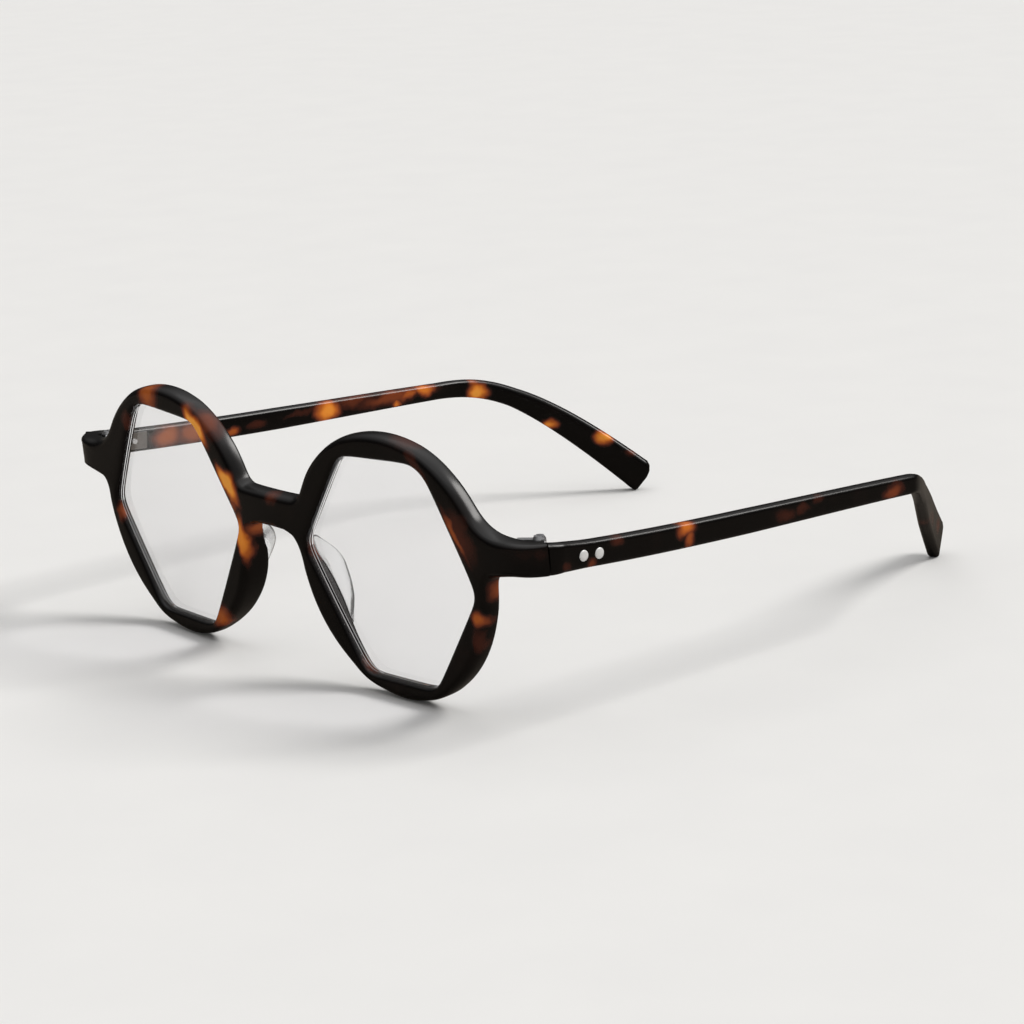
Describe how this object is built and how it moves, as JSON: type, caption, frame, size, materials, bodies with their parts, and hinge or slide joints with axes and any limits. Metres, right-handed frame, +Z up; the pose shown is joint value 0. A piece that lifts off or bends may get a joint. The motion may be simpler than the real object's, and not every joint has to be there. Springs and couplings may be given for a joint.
{
  "type": "eyeglasses",
  "caption": "Eyeglasses with a round tortoiseshell front, six-sided clear lenses, clear nose pads, riveted hinges and folding temples that bend down and in behind the ears",
  "frame": {"origin": "middle of the bounding box at table level, the rims and the temple tips rest on the table", "axes": "+X to the wearer's left, -Y forward out of the lenses, +Y back along the temples, +Z up"},
  "size_m": [0.148, 0.1454, 0.052],
  "materials": {
    "tortoiseshell": "polished tortoiseshell acetate",
    "lens": "clear, polished",
    "clear_pad": "clear, polished",
    "hinge_steel": "satin",
    "screw_steel": "satin",
    "rivet_steel": "satin",
    "wire_steel": "drawn"
  },
  "bodies": {
    "front": {"front_frame": "tortoiseshell", "lens_left": "lens", "lens_right": "lens", "nose_pad_left": "clear_pad", "nose_pad_right": "clear_pad", "front_hinge_left": "hinge_steel", "front_hinge_right": "hinge_steel", "hinge_screw_left": "screw_steel", "hinge_screw_right": "screw_steel"},
    "left_temple": {"temple_left": "tortoiseshell", "temple_hinge_left": "hinge_steel", "core_wire_left": "wire_steel", "rivet_front_left": "rivet_steel", "rivet_rear_left": "rivet_steel"},
    "right_temple": {"temple_right": "tortoiseshell", "temple_hinge_right": "hinge_steel", "core_wire_right": "wire_steel", "rivet_front_right": "rivet_steel", "rivet_rear_right": "rivet_steel"}
  },
  "joints": [
    {"name": "left_temple_hinge", "type": "hinge", "parent": "front", "child": "left_temple", "pos_m": [0.06808, -0.06216, 0.03332], "axis": [0, -0.0621, 0.9981], "range_deg": [0, 82]},
    {"name": "right_temple_hinge", "type": "hinge", "parent": "front", "child": "right_temple", "pos_m": [-0.06808, -0.06216, 0.03332], "axis": [0, 0.0621, -0.9981], "range_deg": [0, 66]}
  ]
}
